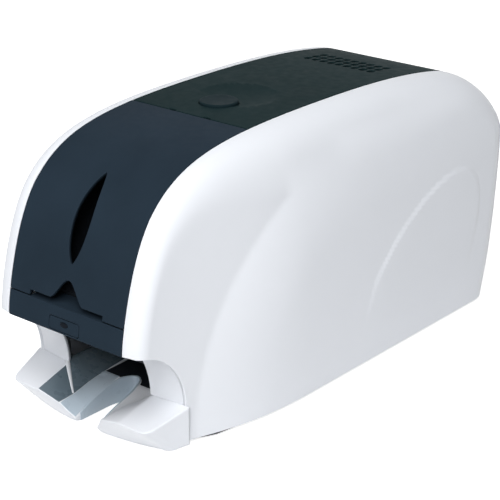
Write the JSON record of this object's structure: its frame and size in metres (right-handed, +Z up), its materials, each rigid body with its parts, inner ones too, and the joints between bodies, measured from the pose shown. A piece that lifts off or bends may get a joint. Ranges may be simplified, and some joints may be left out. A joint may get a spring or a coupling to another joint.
{
  "type": "id card printer",
  "caption": "Desktop card printer with a hinged lid, a hinged front cover, a card feeder, a geared card path, a print head, a ribbon cassette and an open output tray.",
  "frame": {"origin": "centre of the housing's width and length on the surface it stands on", "axes": "+X to the printer's right as seen from its front, -Y towards the output tray, +Z up"},
  "size_m": [0.1826, 0.415, 0.2033],
  "materials": {
    "white_shell": "glossy white moulded plastic",
    "front_charcoal": "fine satin blue-charcoal plastic",
    "lid_charcoal": "fine satin green-charcoal plastic",
    "button_charcoal": "satin charcoal plastic",
    "light_lens": "smoked clear plastic",
    "tray_slate": "satin blue-grey plastic",
    "steel": "ground steel",
    "plate_steel": "zinc-plated sheet steel",
    "head_aluminium": "plain aluminium",
    "screw_black": "black oxide",
    "guide_grey": "matt grey plastic",
    "roller_rubber": "ground rubber",
    "tacky_rubber": "tacky blue rubber",
    "gear_nylon": "natural nylon",
    "motor_case": "dark enamel",
    "board_green": "solder mask",
    "socket_shell": "tin plate",
    "ribbon_ink": "thin coated film",
    "spool_white": "moulded plastic",
    "foot_rubber": "matt rubber",
    "base_grey": "powder coat",
    "rocker_black": "gloss black"
  },
  "bodies": {
    "housing": {"left_side_cover": "white_shell", "right_side_cover": "white_shell", "front_cover_pin": "steel", "hinge_bridge": "guide_grey", "control_panel": "front_charcoal", "top_cover_pin": "steel", "rear_panel": "lid_charcoal", "base_pan": "base_grey", "output_tray": "white_shell", "exit_surround": "white_shell", "rubber_feet": "foot_rubber", "left_chassis_plate": "plate_steel", "right_chassis_plate": "plate_steel", "tie_rods": "steel", "chassis_screws": "screw_black", "card_hopper": "guide_grey", "card_bed": "guide_grey", "exit_chute": "guide_grey", "idler_axles": "steel", "drive_motor": "motor_case", "ribbon_cassette": "spool_white", "ribbon_film": "ribbon_ink", "main_board": "board_green", "rear_sockets": "socket_shell"},
    "front_door": {"front_cover": "front_charcoal"},
    "lid": {"top_cover": "lid_charcoal", "release_button_spring": "steel", "print_head_bracket": "head_aluminium", "print_head_springs": "steel"},
    "release": {"release_button": "button_charcoal", "lid_catch": "guide_grey"},
    "feed_button": {"panel_button": "button_charcoal", "panel_light_lens": "light_lens", "panel_button_spring": "steel"},
    "head": {"print_head": "head_aluminium"},
    "rocker": {"power_rocker": "rocker_black"},
    "flap": {"exit_flap": "guide_grey"},
    "platen": {"platen_roller": "roller_rubber", "platen_shaft": "steel", "platen_gear": "gear_nylon"},
    "pickup": {"pickup_roller": "roller_rubber", "pickup_shaft": "steel", "pickup_gear": "gear_nylon"},
    "feed": {"feed_roller": "roller_rubber", "feed_shaft": "steel", "feed_gear": "gear_nylon"},
    "transport": {"transport_roller": "roller_rubber", "transport_shaft": "steel", "transport_gear": "gear_nylon"},
    "exit": {"exit_roller": "roller_rubber", "exit_shaft": "steel", "exit_gear": "gear_nylon"},
    "front_idler": {"front_idler_gear": "gear_nylon"},
    "middle_idler": {"middle_idler_gear": "gear_nylon"},
    "rear_idler": {"rear_idler_gear": "gear_nylon"},
    "pinion": {"motor_pinion": "gear_nylon"},
    "cleaning": {"cleaning_roller": "tacky_rubber"},
    "pinch": {"pinch_roller": "roller_rubber"},
    "supply": {"supply_spool": "ribbon_ink"},
    "takeup": {"takeup_spool": "ribbon_ink"}
  },
  "joints": [
    {"name": "top_cover_hinge", "type": "hinge", "parent": "housing", "child": "lid", "pos_m": [0, 0.1585, 0.177], "axis": [-1, 0, 0], "range_deg": [0, 75]},
    {"name": "front_cover_hinge", "type": "hinge", "parent": "housing", "child": "front_door", "pos_m": [0, -0.0695, 0.193], "axis": [-1, 0, 0], "range_deg": [0, 75]},
    {"name": "release_button_press", "type": "slide", "parent": "lid", "child": "release", "axis": [0, 0, -1], "range_m": [0, 0.003], "stiffness_N_per_m": 400, "springref_m": -0.002, "deforming": ["release_button_spring"]},
    {"name": "panel_button_press", "type": "slide", "parent": "housing", "child": "feed_button", "axis": [0, 1, 0], "range_m": [0, 0.001], "stiffness_N_per_m": 600, "springref_m": -0.002},
    {"name": "print_head_float", "type": "slide", "parent": "lid", "child": "head", "axis": [0, 0, 1], "range_m": [0, 0.0015], "stiffness_N_per_m": 2000, "springref_m": -0.002, "deforming": ["print_head_springs"]},
    {"name": "power_rocker_tilt", "type": "hinge", "parent": "housing", "child": "rocker", "pos_m": [0.036, 0.194, 0.045], "axis": [1, 0, 0], "range_deg": [0, 12]},
    {"name": "exit_flap_swing", "type": "hinge", "parent": "housing", "child": "flap", "pos_m": [0, -0.0925, 0.092], "axis": [1, 0, 0], "range_deg": [0, 25]},
    {"name": "platen_spin", "type": "hinge", "parent": "housing", "child": "platen", "pos_m": [0, -0.0195, 0.088], "axis": [1, 0, 0], "continuous": true},
    {"name": "pickup_spin", "type": "hinge", "parent": "housing", "child": "pickup", "pos_m": [0, -0.1395, 0.088], "axis": [1, 0, 0], "continuous": true},
    {"name": "feed_spin", "type": "hinge", "parent": "housing", "child": "feed", "pos_m": [0, -0.0795, 0.088], "axis": [1, 0, 0], "continuous": true},
    {"name": "transport_spin", "type": "hinge", "parent": "housing", "child": "transport", "pos_m": [0, 0.0405, 0.088], "axis": [1, 0, 0], "continuous": true},
    {"name": "exit_spin", "type": "hinge", "parent": "housing", "child": "exit", "pos_m": [0, -0.11532, 0.06627], "axis": [1, 0, 0], "continuous": true},
    {"name": "front_idler_spin", "type": "hinge", "parent": "housing", "child": "front_idler", "pos_m": [0, -0.1095, 0.088], "axis": [1, 0, 0], "continuous": true},
    {"name": "middle_idler_spin", "type": "hinge", "parent": "housing", "child": "middle_idler", "pos_m": [0, -0.0495, 0.088], "axis": [1, 0, 0], "continuous": true},
    {"name": "rear_idler_spin", "type": "hinge", "parent": "housing", "child": "rear_idler", "pos_m": [0, 0.0105, 0.088], "axis": [1, 0, 0], "continuous": true},
    {"name": "motor_spin", "type": "hinge", "parent": "housing", "child": "pinion", "pos_m": [0, -0.0495, 0.0655], "axis": [1, 0, 0], "continuous": true},
    {"name": "cleaning_spin", "type": "hinge", "parent": "housing", "child": "cleaning", "pos_m": [0, -0.0795, 0.1039], "axis": [1, 0, 0], "continuous": true},
    {"name": "pinch_spin", "type": "hinge", "parent": "housing", "child": "pinch", "pos_m": [0, 0.0405, 0.1029], "axis": [1, 0, 0], "continuous": true},
    {"name": "supply_spin", "type": "hinge", "parent": "housing", "child": "supply", "pos_m": [0, 0.0185, 0.132], "axis": [1, 0, 0], "continuous": true},
    {"name": "takeup_spin", "type": "hinge", "parent": "housing", "child": "takeup", "pos_m": [0, -0.0575, 0.132], "axis": [1, 0, 0], "continuous": true}
  ],
  "couplings": [
    {"joint": "pickup_spin", "follows": "platen_spin", "ratio": 1},
    {"joint": "feed_spin", "follows": "platen_spin", "ratio": 1},
    {"joint": "transport_spin", "follows": "platen_spin", "ratio": 1},
    {"joint": "exit_spin", "follows": "platen_spin", "ratio": 2},
    {"joint": "front_idler_spin", "follows": "platen_spin", "ratio": -1},
    {"joint": "middle_idler_spin", "follows": "platen_spin", "ratio": -1},
    {"joint": "rear_idler_spin", "follows": "platen_spin", "ratio": -1},
    {"joint": "motor_spin", "follows": "platen_spin", "ratio": 2},
    {"joint": "cleaning_spin", "follows": "platen_spin", "ratio": -1.1429},
    {"joint": "pinch_spin", "follows": "platen_spin", "ratio": -1.3333},
    {"joint": "takeup_spin", "follows": "supply_spin", "ratio": 1.3}
  ]
}
